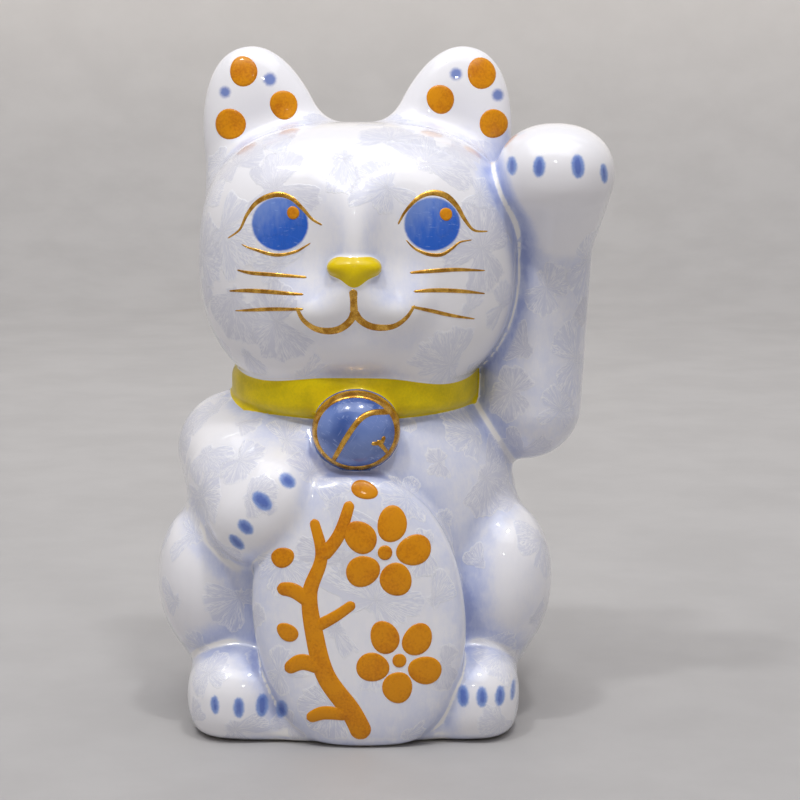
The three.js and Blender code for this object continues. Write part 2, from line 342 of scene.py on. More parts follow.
def shared_out(quads, distance, data):
    """The faces nearest to each column of distance, cut where two columns are equally near.

    data has one row of numbers for each vertex, and comes back with the new vertices' rows.
    """
    owner = distance.argmin(1)
    faces = [quads[(owner[quads] == i).all(1)].tolist() for i in range(distance.shape[1])]
    extra, made = [], {}

    def joint(a, b):
        a, b = min(a, b), max(a, b)
        if (a, b) not in made:
            at_a, at_b = (distance[end, owner[a]] - distance[end, owner[b]] for end in (a, b))
            t = at_a / (at_a - at_b) if at_a != at_b else 0.5
            made[a, b] = len(data) + len(extra)
            extra.append(data[a] * (1 - t) + data[b] * t)
        return made[a, b]

    for quad in quads[(owner[quads] != owner[quads[:, :1]]).any(1)].tolist():
        start = next(i for i in range(4) if owner[quad[i]] != owner[quad[i - 1]])
        runs = []
        for vertex in quad[start:] + quad[:start]:
            if runs and owner[runs[-1][-1]] == owner[vertex]:
                runs[-1].append(vertex)
            else:
                runs.append([vertex])
        hub = []
        if len(runs) > 2:
            hub = [len(data) + len(extra)]
            extra.append(data[quad].mean(0))
        for i, run in enumerate(runs):
            before, after = runs[i - 1][-1], runs[(i + 1) % len(runs)][0]
            face = [joint(before, run[0]), *run, joint(run[-1], after), *hub]
            faces[owner[run[0]]].append(face)
    return faces, np.concatenate([data, extra])


def compact(faces, rows):
    """The faces with their own rows only."""
    used = np.unique([i for face in faces for i in face])
    place = dict(zip(used.tolist(), range(len(used))))
    return [[place[i] for i in face] for face in faces], rows[used]


def open_edges(faces):
    """Edges that only one face has, in that face's direction."""
    seen = {}
    for face in faces:
        for a, b in zip(face, face[1:] + face[:1]):
            if (b, a) in seen:
                del seen[(b, a)]
            else:
                seen[(a, b)] = True
    return list(seen)


def mesh_object(name, verts, faces, normals=None, values=None):
    """A Blender object from millimetres. normals go with face corners, values with vertices."""
    mesh = bpy.data.meshes.new(name)
    mesh.from_pydata((np.asarray(verts) * MM).tolist(), [], faces)
    for key, numbers in (values or {}).items():
        layer = mesh.attributes.new(key, "FLOAT", "POINT")
        layer.data.foreach_set("value", np.asarray(numbers, np.float32))
    mesh.polygons.foreach_set("use_smooth", np.ones(len(mesh.polygons), bool))
    if normals is not None:
        mesh.normals_split_custom_set(normals)
    mesh.update()
    piece = bpy.data.objects.new(name, mesh)
    bpy.context.scene.collection.objects.link(piece)
    return piece


def shell_object(name, faces, rows, value_names):
    """A closed shell: the outer face, an inner face WALL behind it, and a rim between them."""
    outer, normal = rows[:, :3], unit(rows[:, 3:6])
    count = len(outer)
    back = [[i + count for i in reversed(face)] for face in faces]
    rim = [[b, a, a + count, b + count] for a, b in open_edges(faces)]
    verts = np.concatenate([outer, outer - normal * WALL])
    corners = normal[[i for face in faces for i in face]]
    corners_back = -normal[[i - count for face in back for i in face]]
    quads = verts[np.array(rim, int).reshape(-1, 4)]
    rim_normal = unit(np.cross(quads[:, 2] - quads[:, 0], quads[:, 3] - quads[:, 1]))
    normals = np.concatenate([corners, corners_back, np.repeat(rim_normal, 4, axis=0)])
    values = {key: np.tile(rows[:, 6 + i], 2) for i, key in enumerate(value_names)}
    return mesh_object(name, verts, faces + back + rim, normals.tolist(), values)


# ---- painted marks -----------------------------------------------------------------------------
# Offsets are (across, up) from the middle of the named node's box, as seen from the front.

IRISES = [("head_casting", (-19.5, 10.0), (7.4, 6.9)), ("head_casting", (19.4, 10.0), (7.3, 6.9))]
EAR_DOTS = [("head_casting", (-35.9, 42.8), 1.5), ("head_casting", (-23.8, 46.2), 1.7),
            ("head_casting", (26.2, 47.6), 1.6), ("head_casting", (37.5, 42.0), 1.6)]
# each claw mark is a node, an offset, its half width and height, and its tilt
CLAWS = [
    ("raised_paw", (-12.0, 6.6), (1.2, 2.3), 0), ("raised_paw", (-5.3, 6.6), (1.5, 2.7), 4),
    ("raised_paw", (4.6, 6.7), (1.7, 3.0), -4), ("raised_paw", (11.7, 4.7), (1.0, 2.5), -8),
    ("lowered_paw", (6.4, 8.6), (1.5, 2.3), -52), ("lowered_paw", (0.0, 3.7), (1.9, 2.9), -50),
    ("lowered_paw", (-4.3, -3.1), (1.6, 2.3), -46), ("lowered_paw", (-6.8, -7.5), (1.4, 2.5), -42),
    ("right_foot", (-5.8, -2.3), (1.1, 2.4), -4), ("right_foot", (0.5, -2.8), (1.4, 2.7), 0),
    ("right_foot", (6.5, -2.4), (1.6, 3.0), 3), ("right_foot", (11.6, -3.4), (1.6, 2.8), 6),
    ("left_foot", (-3.1, 0.2), (1.5, 2.8), -3), ("left_foot", (1.8, 0.0), (1.4, 2.6), 0),
    ("left_foot", (6.6, -0.2), (1.3, 2.5), 3), ("left_foot", (10.2, 0.0), (0.7, 2.3), 6),
]

MARK_DEPTH = 12  # how far behind its node's middle a mark can still lie
MARK_REACH = 9  # the distance from a mark that stands for well away from it


def mark_distance(p, node, offset, half, tilt=0):
    """How far each point is outside an oval mark, as seen from the front.

    Points well behind the mark's own node are left out, so no mark shows on what stands there.
    """
    centre = spot(node, offset[0], MARK_DEPTH, offset[1])
    x, z = p[:, 0] - centre[0], p[:, 2] - centre[2]
    c, s = cos(radians(tilt)), sin(radians(tilt))
    u, v = (x * c - z * s) / half[0], (x * s + z * c) / half[1]
    size = np.sqrt(u * u + v * v)
    away = (size - 1) * size / np.maximum(np.hypot(u / half[0], v / half[1]), 1e-6)
    return np.where(p[:, 1] < centre[1], away, MARK_REACH)


def nearest_mark(p, normal, marks):
    """Distance to the nearest mark on the side that faces the front, capped at MARK_REACH."""
    away = np.min([mark_distance(p, *mark) for mark in marks], axis=0)
    return np.where(normal[:, 1] < 0.1, np.minimum(away, MARK_REACH), MARK_REACH)


def crevice(p, normal):
    """How deep in a crease each point lies, from 0 on an open surface to about 1."""
    total = 0
    for reach, weight in ((2.5, 0.45), (5.5, 0.35), (11.0, 0.3)):
        total = total + weight * np.clip(1 - skin(p + normal * reach) / reach, 0, 1)
    return total


def crest(p, normal):
    """How sharply each point bulges, from 0 on a flat surface to about 1."""
    return np.clip(1 + skin(p - normal * 6) / 6, 0, 1)


# ---- crystals in the glaze ---------------------------------------------------------------------

PLAIN = ["left_ear", "right_ear", "raised_paw", "nose", "bell", "collar"]  # without crystals
NUCLEUS_SPACING = 15.0
CRYSTAL_REACH = (7, 17)
CRYSTAL_FREE = 24  # radius round the muzzle in which no crystal starts
FAR = 9.0  # the distance given where no crystal is near
BASE_TINT = 0.02  # how lavender the glaze is on a casting that TINTS leaves out
TINTS = {"raised_arm": 0.26, "torso_casting": 0.28, "oval_tablet": 0.14, "lowered_arm": 0.05,
         "left_haunch": 0.08, "left_ear": -0.3, "right_ear": -0.3, "raised_paw": -0.15}


def glaze_tint(distance):
    """The tint of the nearest castings, mixed smoothly across the joints."""
    weight = np.exp(-(distance - distance.min(1)[:, None]) / 1.5)
    tints = np.array([TINTS.get(node, BASE_TINT) for node in NODES])
    return weight @ tints / weight.sum(1)


def nuclei(verts, normals, distance, spacing, rng):
    """Points scattered over the skin for crystals to grow from."""
    plain = np.isin(distance.argmin(1), [NODES.index(node) for node in PLAIN])
    face = np.linalg.norm(verts - spot("head_casting", 4, -34, -6), axis=1) < CRYSTAL_FREE
    able = np.flatnonzero(~plain & ~face & (verts[:, 2] > 2))
    chosen = []
    for i in rng.choice(able, 9000, replace=False):
        room = spacing * rng.uniform(0.7, 1.4)
        if not chosen or np.linalg.norm(verts[chosen] - verts[i], axis=1).min() > room:
            chosen.append(i)
    return verts[chosen], normals[chosen]


def grown_crystals(verts, normals, distance):
    """Fans that grow over the skin from scattered nuclei.

    Gives the distance to the nearest crystal's outline (negative inside it), how much nearer that
    crystal is than the next, a random number for it, and the way there from its nucleus.
    """
    rng = np.random.default_rng(7)
    best, second = np.full(len(verts), FAR), np.full(len(verts), FAR)
    tone, ray = np.zeros(len(verts)), np.tile([1.0, 0, 0], (len(verts), 1))
    for centre, normal in zip(*nuclei(verts, normals, distance, NUCLEUS_SPACING, rng)):
        reach = rng.uniform(*CRYSTAL_REACH)
        tangent = np.cross(normal, rng.normal(size=3))
        tangent /= np.linalg.norm(tangent)
        fans = rng.uniform((0, 0.35, 0.55), (tau, 1.3, 1.0), (rng.integers(1, 6), 3))
        scallops, phase, own = rng.integers(7, 13), rng.uniform(0, tau), rng.uniform()
        near = np.flatnonzero((np.abs(verts - centre) < reach + 8).all(1))
        away = verts[near] - centre
        angle = np.arctan2(away @ np.cross(normal, tangent), away @ tangent)
        spread = 0.2
        for middle, width, share in fans:
            turned = np.abs((angle - middle + pi) % tau - pi)
            spread = np.maximum(spread, share * np.clip((width - turned) / 0.4 + 0.5, 0.2, 1))
        edge = reach * spread * (1 - 0.1 * np.abs(np.sin(scallops * angle / 2 + phase)))
        bend = 1 + 1.5 * (1 - normals[near] @ normal)
        gap = np.linalg.norm(away, axis=1) * bend - edge
        closer = gap < best[near]
        second[near] = np.where(closer, best[near], np.minimum(second[near], gap))
        inside = near[closer]
        best[inside], tone[inside], ray[inside] = gap[closer], own, away[closer]
    return best, second - best, tone, ray


# ---- raised enamel and gold --------------------------------------------------------------------

def laid(x, z):
    """Where lines running back from the front meet the skin, and the skin's normal there."""
    p = np.stack([x, np.full(len(x), -70.0), z], 1)
    for _ in range(60):
        p[:, 1] += skin(p) * 0.85
    return p, unit(slope(skin, p))


def length_along(path):
    """How far along the path each of its points lies, seen from the front."""
    steps = np.linalg.norm(np.diff(path[:, :2], axis=0), axis=1)
    return np.concatenate([[0], np.cumsum(steps)])


def smooth_path(points, spacing=0.45):
    """A curve through the points, sampled evenly. Extra columns such as width come with it."""
    pts = np.asarray(points, float)
    ends = np.concatenate([[2 * pts[0] - pts[1]], pts, [2 * pts[-1] - pts[-2]]])
    out = []
    for a, b, c, d in zip(ends, ends[1:], ends[2:], ends[3:]):
        t = np.linspace(0, 1, 24, endpoint=False)[:, None]
        out.append(0.5 * (2 * b + (c - a) * t + (2 * a - 5 * b + 4 * c - d) * t ** 2
                          + (3 * b - a - 3 * c + d) * t ** 3))
    curve = np.concatenate(out + [pts[-1:]])
    length = length_along(curve)
    even = np.linspace(0, length[-1], max(4, ceil(length[-1] / spacing) + 1))
    return np.stack([np.interp(even, length, column) for column in curve.T], 1)


STROKE_COLUMNS = np.array([-1, -0.82, -0.45, 0, 0.45, 0.82, 1])
ROOT = 0.25  # how deep enamel and gold are sunk into the skin
SEAT = 0.02  # how much the whole top of a stroke or dot is let down


def stroke(node, points, height, closed=False):
    """A brush stroke of enamel. points are (across, up, half width) from the node's middle."""
    path = smooth_path(points)
    if closed:
        path = path[:-1]
    ahead = np.roll(path, -1, axis=0) - np.roll(path, 1, axis=0)
    if not closed:
        ahead[0], ahead[-1] = path[1] - path[0], path[-1] - path[-2]
        length = length_along(path)  # the ends of an open stroke are rounded
        left_over = np.minimum(length, length[-1] - length) / np.maximum(path[:, 2], 0.3)
        path[:, 2] *= np.sqrt(np.clip(1 - (1 - np.minimum(left_over, 1)) ** 2, 0.03, 1))
    along = unit(ahead[:, :2])
    across = np.stack([-along[:, 1], along[:, 0]], 1)
    middle = spot(node)
    u = STROKE_COLUMNS
    offset = path[:, None, :2] + across[:, None] * u[None, :, None] * path[:, None, 2:3]
    surface, normal = laid(*(offset.reshape(-1, 2) + middle[[0, 2]]).T)
    dome = np.sqrt(np.maximum(1 - u ** 2, 0))
    thick = height * np.minimum(1, path[:, 2] / path[:, 2].max() * 1.4)
    lift = (thick[:, None] * dome[None]).reshape(-1, 1)
    top = (surface + normal * (lift - SEAT)).reshape(len(path), len(u), 3)
    under = (surface - normal * ROOT).reshape(len(path), len(u), 3)[:, ::-1]
    rings = np.concatenate([top, under], 1)
    n, m = rings.shape[:2]
    faces = []
    for i in range(n if closed else n - 1):
        j = (i + 1) % n
        faces += [[i * m + k, i * m + (k + 1) % m, j * m + (k + 1) % m, j * m + k]
                  for k in range(m)]
    if not closed:
        faces += [list(range(m))[::-1], [(n - 1) * m + k for k in range(m)]]
    return rings.reshape(-1, 3), faces


def patch(node, outline, height, steps=((1, 0), (0.93, 0.6), (0.82, 0.9), (0.6, 1), (0.3, 1))):
    """A raised dot of enamel. outline is a closed star-shaped ring of (across, up) points."""
    ring = np.asarray(outline, float)
    centre = ring.mean(0)
    middle = spot(node)
    n = len(ring)
    flat = np.concatenate([centre + (ring - centre) * scale for scale, _ in steps] + [[centre]])
    lift = np.concatenate([np.full(n, rise) for _, rise in steps] + [[1]]) * height
    surface, normal = laid(*(flat + middle[[0, 2]]).T)
    top = surface + normal * (lift - SEAT)[:, None]
    under = (surface - normal * ROOT)[:n]
    verts = np.concatenate([top, under, [under.mean(0)]])
    hub, base, low_hub = len(steps) * n, len(steps) * n + 1, len(steps) * n + 1 + n
    faces = []
    for i in range(n):
        j = (i + 1) % n
        for k in range(len(steps) - 1):
            faces.append([k * n + i, k * n + j, (k + 1) * n + j, (k + 1) * n + i])
        last = (len(steps) - 1) * n
        faces += [[last + i, last + j, hub], [base + j, base + i, low_hub],
                  [i, base + i, base + j, j]]
    return verts, faces


def ellipse(centre, half, tilt=0, count=28, wobble=0.0, seed=0):
    """A hand-painted oval outline."""
    rng = np.random.default_rng(seed)
    phase = rng.uniform(0, tau, 3)
    angle = np.linspace(0, tau, count, endpoint=False)
    size = 1 + wobble * (np.sin(2 * angle + phase[0]) + 0.6 * np.sin(3 * angle + phase[1]))
    x, z = half[0] * size * np.cos(angle), half[1] * size * np.sin(angle)
    c, s = cos(radians(tilt)), sin(radians(tilt))
    return np.stack([centre[0] + x * c + z * s, centre[1] - x * s + z * c], 1)


def gathered(name, parts):
    """One object from several closed parts, with outward faces."""
    verts, faces, start = [], [], 0
    for part_verts, part_faces in parts:
        verts.append(part_verts)
        faces += [[i + start for i in face] for face in part_faces]
        start += len(part_verts)
    piece = mesh_object(name, np.concatenate(verts), faces)
    bpy.context.view_layer.objects.active = piece
    piece.select_set(True)
    bpy.ops.object.mode_set(mode="EDIT")
    bpy.ops.mesh.select_all(action="SELECT")
    bpy.ops.mesh.normals_make_consistent(inside=False)
    bpy.ops.object.mode_set(mode="OBJECT")
    piece.select_set(False)
    return piece


# ---- materials ---------------------------------------------------------------------------------

class Paint:
    """A material and the few node shorthands that its colours are mixed with."""

    def __init__(self, name, **sockets):
        self.material = bpy.data.materials.new(name)
        self.material.use_nodes = True
        self.tree = self.material.node_tree
        self.shader = self.tree.nodes["Principled BSDF"]
        for socket, value in sockets.items():
            self.set(socket.replace("_", " "), value)
        place = self.make("TexCoord").outputs["Object"]
        self.place = self.scaled(place, 1 / MM)  # object coordinates in millimetres

    def set(self, socket, value):
        target = self.shader.inputs[socket]
        if isinstance(value, bpy.types.NodeSocket):
            self.tree.links.new(value, target)
        else:
            target.default_value = value

    def make(self, kind, inputs=None, **settings):
        node = self.tree.nodes.new("ShaderNode" + kind)
        for key, value in settings.items():
            setattr(node, key, value)
        for key, value in (inputs or {}).items():
            if isinstance(value, bpy.types.NodeSocket):
                self.tree.links.new(value, node.inputs[key])
            else:
                node.inputs[key].default_value = value
        return node

    def math(self, operation, a, b=0.0):
        return self.make("Math", {0: a, 1: b}, operation=operation).outputs[0]

    def vector(self, operation, a, b=(0.0, 0.0, 0.0)):
        return self.make("VectorMath", {0: a, 1: b}, operation=operation).outputs[0]

    def scaled(self, vector, factor):
        return self.make("VectorMath", {0: vector, "Scale": factor}, operation="SCALE").outputs[0]

    def ramp(self, value, low, high, start=0.0, end=1.0):
        inputs = {"Value": value, "From Min": low, "From Max": high, "To Min": start, "To Max": end}
        return self.make("MapRange", inputs, interpolation_type="SMOOTHSTEP").outputs[0]

    def mix(self, factor, a, b):
        return self.make("Mix", {0: factor, 6: a, 7: b}, data_type="RGBA").outputs[2]

    def noise(self, vector, scale, detail=3.0, roughness=0.5):
        inputs = {"Vector": vector, "Scale": scale, "Detail": detail, "Roughness": roughness}
        return self.make("TexNoise", inputs).outputs["Fac"]

    def attribute(self, name):
        return self.make("Attribute", attribute_name=name).outputs["Fac"]

    def bump(self, height, distance, strength=1.0, under=None):
        inputs = {"Height": height, "Distance": distance * MM, "Strength": strength}
        if under is not None:
            inputs["Normal"] = under
        return self.make("Bump", inputs).outputs["Normal"]


def rgb(red, green, blue):
    """A linear colour from the 0 to 255 values a screen shows."""
    values = [v / 255 for v in (red, green, blue)]
    return [v / 12.92 if v <= 0.04045 else ((v + 0.055) / 1.055) ** 2.4 for v in values] + [1.0]


def needles_of(paint, tone, ray):
    """Fine needles that spread along the ray from a crystal's nucleus, from 0 to 1."""
    heading = paint.vector("NORMALIZE", ray)
    offset = paint.make("CombineXYZ", {0: tone, 1: tone, 2: tone}).outputs[0]
    own = paint.vector("ADD", heading, paint.scaled(offset, 23.0))
    own = paint.vector("ADD", own, paint.scaled(ray, 0.02))
    fine, coarse = paint.noise(own, 26.0, 2.0, 0.6), paint.noise(own, 5.0, 1.0)
    return paint.math("MULTIPLY", paint.ramp(fine, 0.4, 0.62), paint.ramp(coarse, 0.3, 0.6))


def porcelain():
    """White porcelain under a crystalline glaze that pools lavender in the creases."""
    p = Paint("porcelain_crystalline_glaze", Roughness=0.32, Specular_IOR_Level=0.25,
              Coat_Weight=1.0, Coat_Roughness=0.02, Coat_IOR=1.5)
    crease, crest_of, tint = p.attribute("crease"), p.attribute("crest"), p.attribute("tint")
    runs = p.vector("MULTIPLY", p.place, (1.0, 1.0, 0.3))  # glaze runs down as it melts
    clouds, wisps = p.noise(p.place, 0.06, 3.0), p.noise(p.place, 0.22, 3.0, 0.6)
    grains = p.noise(runs, 1.1, 4.0, 0.65)
    unevenness = 1.0
    for noise, share in ((clouds, 1.6), (wisps, 1.3), (grains, 0.8)):
        swing = p.math("MULTIPLY", p.math("SUBTRACT", noise, 0.5), share)
        unevenness = p.math("ADD", unevenness, swing)
    depth = p.math("ADD", p.math("MULTIPLY", crease, 1.2), tint)
    thin = p.ramp(crest_of, 0.2, 0.5)
    pool = p.math("MULTIPLY", p.math("MULTIPLY", depth, unevenness), p.math("SUBTRACT", 1.0, thin))
    base = p.mix(thin, rgb(244, 243, 247), rgb(250, 248, 246))
    base = p.mix(p.ramp(pool, 0.05, 0.45), base, rgb(220, 224, 243))
    base = p.mix(p.ramp(pool, 0.35, 0.8), base, rgb(198, 206, 236))
    base = p.mix(p.ramp(pool, 0.75, 1.3), base, rgb(170, 182, 226))

    tone, seam = p.attribute("tone"), p.attribute("seam")
    ray = p.make("CombineXYZ", {i: p.attribute("ray_" + axis) for i, axis in enumerate("xyz")})
    needles = needles_of(p, tone, ray.outputs[0])
    rough_edge = p.math("MULTIPLY", p.math("SUBTRACT", p.noise(p.place, 0.6, 3.0), 0.5), 3.0)
    gap = p.math("ADD", p.attribute("crystal"), rough_edge)
    open_skin = p.ramp(crease, 0.75, 0.4)  # no crystals where the glaze pools deepest
    grown = p.math("MULTIPLY", p.ramp(gap, 0.3, -0.3), open_skin)
    sheen = p.mix(p.ramp(tone, 0.2, 0.9), rgb(228, 231, 244), rgb(213, 213, 224))
    base = p.mix(p.math("MULTIPLY", grown, p.ramp(tone, 0.0, 1.0, 0.3, 0.6)), base, sheen)
    veined = p.math("MULTIPLY", grown, p.ramp(tone, 1.0, 0.6, 0.55, 1.0))
    shadow = p.math("MULTIPLY", p.math("SUBTRACT", 1.0, needles), 0.26)
    base = p.mix(p.math("MULTIPLY", veined, shadow), base, rgb(190, 196, 226))
    base = p.mix(p.math("MULTIPLY", veined, p.math("MULTIPLY", needles, 0.75)), base,
                 rgb(250, 250, 254))
    rim = p.math("MULTIPLY", p.ramp(gap, -0.75, -0.2), p.ramp(gap, 0.25, 0.0))
    joint = p.math("MULTIPLY", p.ramp(seam, 0.7, 0.2), p.ramp(gap, 0.2, -0.4))
    line = p.math("MULTIPLY", p.math("MAXIMUM", rim, joint), open_skin)
    base = p.mix(p.math("MULTIPLY", line, 0.4), base, rgb(252, 252, 255))
    relief = p.math("ADD", p.math("MULTIPLY", needles, veined), p.math("MULTIPLY", grown, 1.4))

    # cobalt painted under the glaze: its edges have bled a little
    bleed = p.math("MULTIPLY", p.math("SUBTRACT", p.noise(p.place, 1.3, 2.0), 0.5), 0.5)
    flow = p.noise(runs, 0.8, 3.0)
    claw = p.math("ADD", p.attribute("claw"), bleed)
    cobalt = p.mix(p.ramp(p.math("ADD", claw, p.math("MULTIPLY", flow, 0.8)), -0.9, 0.4),
                   rgb(58, 98, 188), rgb(128, 158, 220))
    base = p.mix(p.math("MULTIPLY", p.ramp(claw, 0.45, -0.35), 0.92), base, cobalt)
    dot = p.math("ADD", p.attribute("ear_dot"), bleed)
    base = p.mix(p.math("MULTIPLY", p.ramp(dot, 0.6, -0.7), 0.85), base, rgb(72, 108, 190))

    iris_place = p.math("ADD", p.attribute("iris"), p.math("MULTIPLY", bleed, 0.5))
    shade = p.math("MULTIPLY", p.math("SUBTRACT", flow, 0.5), 0.5)
    shade = p.math("ADD", p.attribute("iris_shade"), shade)
    iris = p.mix(p.ramp(shade, 0.15, 0.68), rgb(112, 142, 210), rgb(24, 96, 206))
    hairs = p.noise(p.vector("MULTIPLY", p.place, (0.25, 1.0, 1.0)), 1.5, 2.0, 0.7)
    iris = p.mix(p.ramp(hairs, 0.6, 0.72, 0.0, 0.35), iris, rgb(150, 180, 232))
    base = p.mix(p.ramp(iris_place, 0.22, -0.5), base, iris)
    p.set("Base Color", base)

    ripple = p.bump(p.noise(p.place, 0.07, 2.0), 0.4, 0.6)
    p.set("Coat Normal", p.bump(relief, 0.025, 0.6, ripple))
    p.set("Normal", p.bump(relief, 0.05, 0.6, ripple))
    return p.material


def enamel(name, light, dark, mottle=0.35, roughness=0.35, shine=0.25):
    """A glossy coloured enamel, a little uneven where the brush left more of it."""
    p = Paint(name, Roughness=roughness, Coat_Weight=shine, Coat_Roughness=0.06)
    p.set("Specular IOR Level", 0.2)
    broad, fine = p.noise(p.place, 0.16, 3.0), p.noise(p.place, 1.6, 3.0)
    wash = p.math("ADD", p.math("MULTIPLY", broad, 0.7), p.math("MULTIPLY", fine, mottle))
    p.set("Base Color", p.mix(p.ramp(wash, 0.35, 0.75), dark, light))
    p.set("Normal", p.bump(fine, 0.04, 0.5))
    p.set("Coat Normal", p.bump(broad, 0.2, 0.5))
    return p.material


def bell_blue():
    """Deep cobalt glaze with a few long pale crystals in it."""
    p = Paint("bell_cobalt_glaze", Roughness=0.16, Coat_Weight=1.0, Coat_Roughness=0.03)
    depth = p.ramp(p.noise(p.place, 0.11, 2.0), 0.35, 0.65)
    base = p.mix(depth, rgb(50, 84, 158), rgb(112, 138, 202))
    for slant, seed in ((1.0, 0.0), (-0.6, 40.0)):
        turned = p.make("VectorRotate", {"Vector": p.place, "Angle": slant}, rotation_type="Y_AXIS")
        streaks = p.vector("MULTIPLY", turned.outputs[0], (0.12, 1.0, 1.6))
        streaks = p.noise(p.vector("ADD", streaks, (seed, seed, seed)), 1.0, 2.0, 0.7)
        base = p.mix(p.ramp(streaks, 0.6, 0.75, 0.0, 0.5), base, rgb(170, 188, 232))
    p.set("Base Color", base)
    p.set("Coat Normal", p.bump(p.noise(p.place, 0.2, 2.0), 0.15, 0.5))
    return p.material


def gold():
    """Fired gold, thin and brownish where the brush ran dry."""
    p = Paint("fired_gold_lustre", Metallic=0.8)
    grain, dry = p.noise(p.place, 3.2, 3.0), p.noise(p.place, 0.5, 3.0)
    tone = p.mix(p.ramp(dry, 0.35, 0.65), rgb(182, 128, 40), rgb(238, 186, 84))
    specks = p.math("MULTIPLY", p.ramp(grain, 0.5, 0.75), 0.35)
    p.set("Base Color", p.mix(specks, tone, rgb(120, 78, 24)))
    p.set("Roughness", p.ramp(grain, 0.3, 0.8, 0.2, 0.4))
    p.set("Normal", p.bump(grain, 0.03, 0.5))
    return p.material


def bisque():
    """Bare fired clay with kiln dust in its pores."""
    p = Paint("bare_bisque", Roughness=0.75)
    pores, stain = p.noise(p.place, 2.5, 4.0), p.noise(p.place, 0.08, 3.0)
    base = p.mix(p.ramp(stain, 0.35, 0.7), rgb(232, 226, 214), rgb(212, 202, 186))
    dust = p.math("MULTIPLY", p.ramp(pores, 0.58, 0.75), 0.4)
    p.set("Base Color", p.mix(dust, base, rgb(178, 166, 150)))
    p.set("Normal", p.bump(pores, 0.12, 0.6))
    return p.material


PORCELAIN = porcelain()
COLLAR = enamel("collar_yellow_enamel", rgb(246, 218, 0), rgb(218, 194, 0), shine=0.15)
NOSE = enamel("nose_yellow_enamel", rgb(240, 214, 0), rgb(226, 196, 0), 0.2, 0.3, 0.3)
OCHRE = enamel("ochre_enamel", rgb(224, 146, 6), rgb(196, 112, 4), 0.6)
BELL = bell_blue()
GOLD = gold()
BISQUE = bisque()


# ---- the skin, cut into its castings -----------------------------------------------------------

def finished(piece, material, slot, *nodes):
    piece.data.materials.append(material)
    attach(piece, "root")
    if nodes:
        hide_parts(*nodes)
    return piece


def iris_shade(p):
    """0 at the upper outer edge of each iris, 1 at its lower inner edge, as seen from the front."""
    best, shade = np.full(len(p), 1e9), np.zeros(len(p))
    for node, offset, half in IRISES:
        centre = spot(node, offset[0], 0, offset[1])
        u, v = (p[:, 0] - centre[0]) / half[0], (p[:, 2] - centre[2]) / half[1]
        near = np.hypot(u, v) < best
        best = np.where(near, np.hypot(u, v), best)
        shade = np.where(near, 0.5 + 0.32 * (0.55 * u - 0.85 * v), shade)
    return shade


low, high = (np.array(corner) / MM for corner in CAD_BOUNDS)
verts, quads = surface_net(skin, low - MARGIN, high + MARGIN, GRID)
verts, quads = halved(settled(skin, verts, 2), quads)
verts = settled(skin, verts, 1)
normals = unit(slope(skin, verts))
away = castings(verts)
distance = np.stack([away[name] for name in NODES], 1)
nearest = distance.min(1)
in_vent = VENT_RADIUS + 0.9 - np.hypot(*(verts[:, :2] - VENT).T)
in_vent = np.where(verts[:, 2] < 13, in_vent, -1.0)
slab_share = nearest + 20 * (verts[:, 2] - SLAB_TOP)  # least for all that is below the slab's top
vent_share = nearest - in_vent  # least inside the vent
VALUES = ["crease", "crest", "tint", "claw", "ear_dot", "iris", "iris_shade",
          "crystal", "seam", "tone", "ray_x", "ray_y", "ray_z"]
rows = np.column_stack([
    verts, normals, crevice(verts, normals), crest(verts, normals), glaze_tint(distance),
    nearest_mark(verts, normals, CLAWS),
    nearest_mark(verts, normals, [(node, at, (size, size)) for node, at, size in EAR_DOTS]),
    nearest_mark(verts, normals, IRISES), iris_shade(verts),
    *grown_crystals(verts, normals, distance),
])
shares, rows = shared_out(quads, np.column_stack([distance, slab_share, vent_share]), rows)

SLOTS = {"collar": (COLLAR, "collar_enamel"), "bell": (BELL, "bell_enamel"),
         "nose": (NOSE, "nose_enamel")}
for node, faces in zip(NODES, shares):
    piece = shell_object(node + "_glazed", *compact(faces, rows), VALUES)
    material, slot = SLOTS.get(node, (PORCELAIN, "porcelain_glaze"))
    finished(piece, material, slot, node)

slab = shell_object("foot_slab_bisque", *compact(shares[len(NODES)], rows), VALUES)
finished(slab, PORCELAIN, "bisque", "foot_slab")
slab.data.materials.append(BISQUE)
for face in slab.data.polygons:
    face.material_index = int(face.center.z < 0.4 * MM or face.normal.z > 0.5)


# ---- enamel and gold ---------------------------------------------------------------------------

def strokes(node, lines, height, closed=False):
    return [stroke(node, line, height, closed) for line in lines]


def with_width(points, widths):
    """Adds a half width to each point: widths are for the start, the middle and the end."""
    t = np.linspace(0, 1, len(points))
    return [(x, z, float(np.interp(s, (0, 0.5, 1), widths))) for (x, z), s in zip(points, t)]


GOLD_HEIGHT = 0.16
OCHRE_HEIGHT = 0.3

EYE_LINES = {
    "right": [
        with_width([(-33.3, 5.9), (-30.0, 8.4), (-28.2, 12.0), (-25.8, 15.1), (-22.7, 16.9),
                    (-19.5, 17.5), (-16.4, 16.5), (-13.6, 13.9), (-11.2, 11.3), (-8.6, 9.8)],
                   (0.18, 0.78, 0.25)),
        with_width([(-29.6, 4.7), (-27.8, 3.9), (-25.8, 3.4), (-22.6, 2.5), (-19.5, 2.2),
                    (-15.6, 3.0), (-13.0, 4.4), (-11.6, 5.3)], (0.15, 0.5, 0.15)),
    ],
    "left": [
        with_width([(10.6, 9.9), (12.4, 13.1), (15.0, 16.0), (17.5, 17.5), (20.1, 17.9),
                    (23.2, 16.9), (25.8, 14.3), (27.8, 10.9), (30.2, 8.2), (33.9, 7.7)],
                   (0.25, 0.85, 0.2)),
        with_width([(12.6, 6.1), (14.2, 4.4), (15.9, 3.3), (18.8, 2.3), (21.9, 2.3),
                    (24.5, 3.8), (26.5, 5.3), (29.7, 5.8)], (0.15, 0.52, 0.15)),
    ],
}
